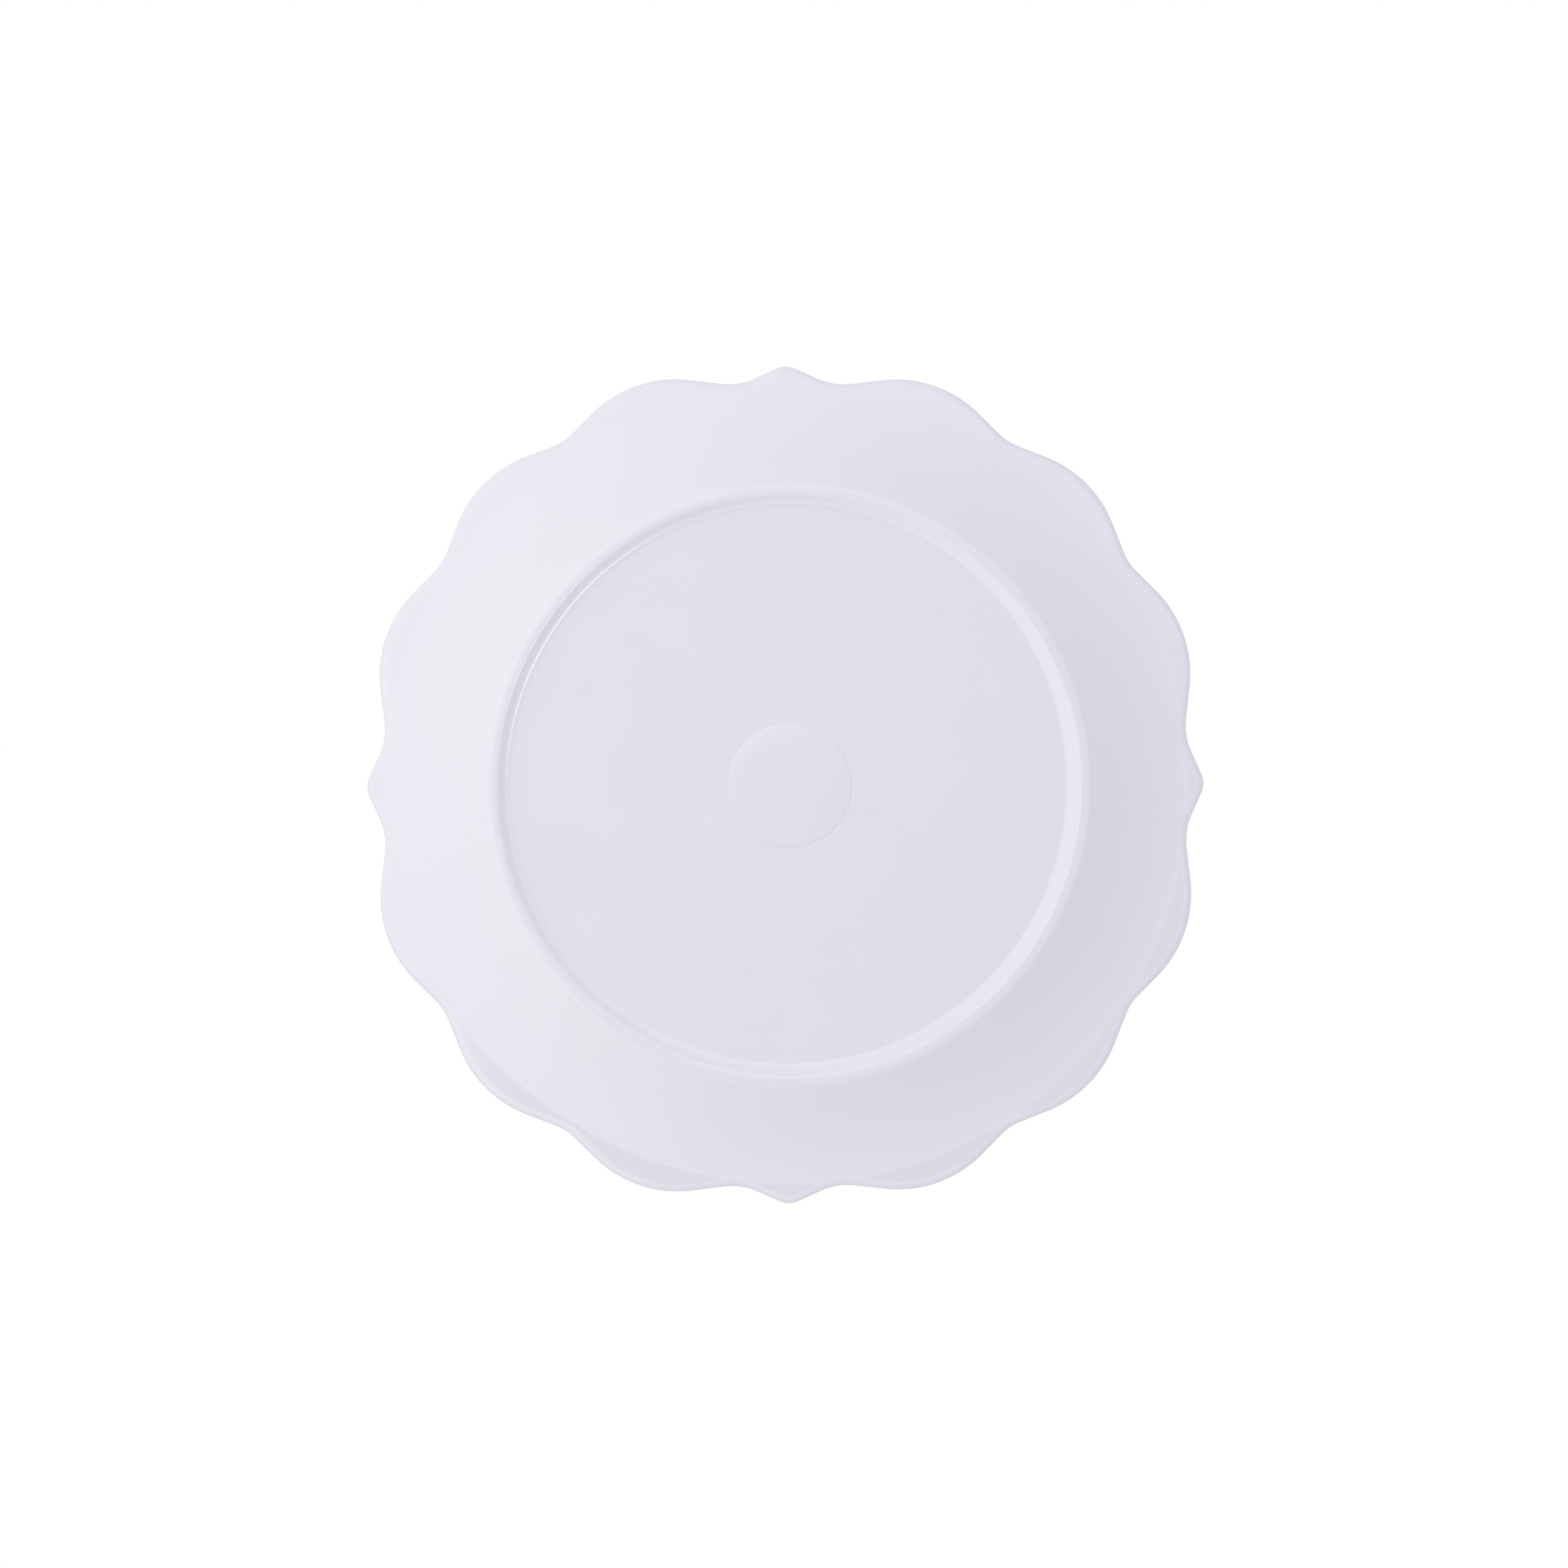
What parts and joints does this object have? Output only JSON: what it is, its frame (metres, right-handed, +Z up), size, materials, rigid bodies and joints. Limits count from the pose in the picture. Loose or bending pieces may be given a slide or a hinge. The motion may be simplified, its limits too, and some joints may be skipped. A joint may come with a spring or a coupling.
{
  "type": "melamine dinner plate",
  "caption": "Round melamine dinner plate with a flat well, a flared rim scalloped into lobes and points, and a recessed underside on a low foot ring.",
  "frame": {"origin": "on the plate's axis, level with the underside of the foot ring", "axes": "+Z up out of the eating face, +X and +Y towards two neighbouring points of the rim"},
  "size_m": [0.27, 0.27, 0.0205],
  "materials": {
    "body_lavender": "moulded gloss",
    "face_foil": "resin-soaked, plain",
    "clear_glaze": "clear gloss",
    "disc_foil": "moulded gloss"
  },
  "bodies": {
    "root": {"plate_body": "body_lavender", "decor_foil": "face_foil", "face_glaze": "clear_glaze", "backstamp_disc": "disc_foil"}
  },
  "joints": []
}
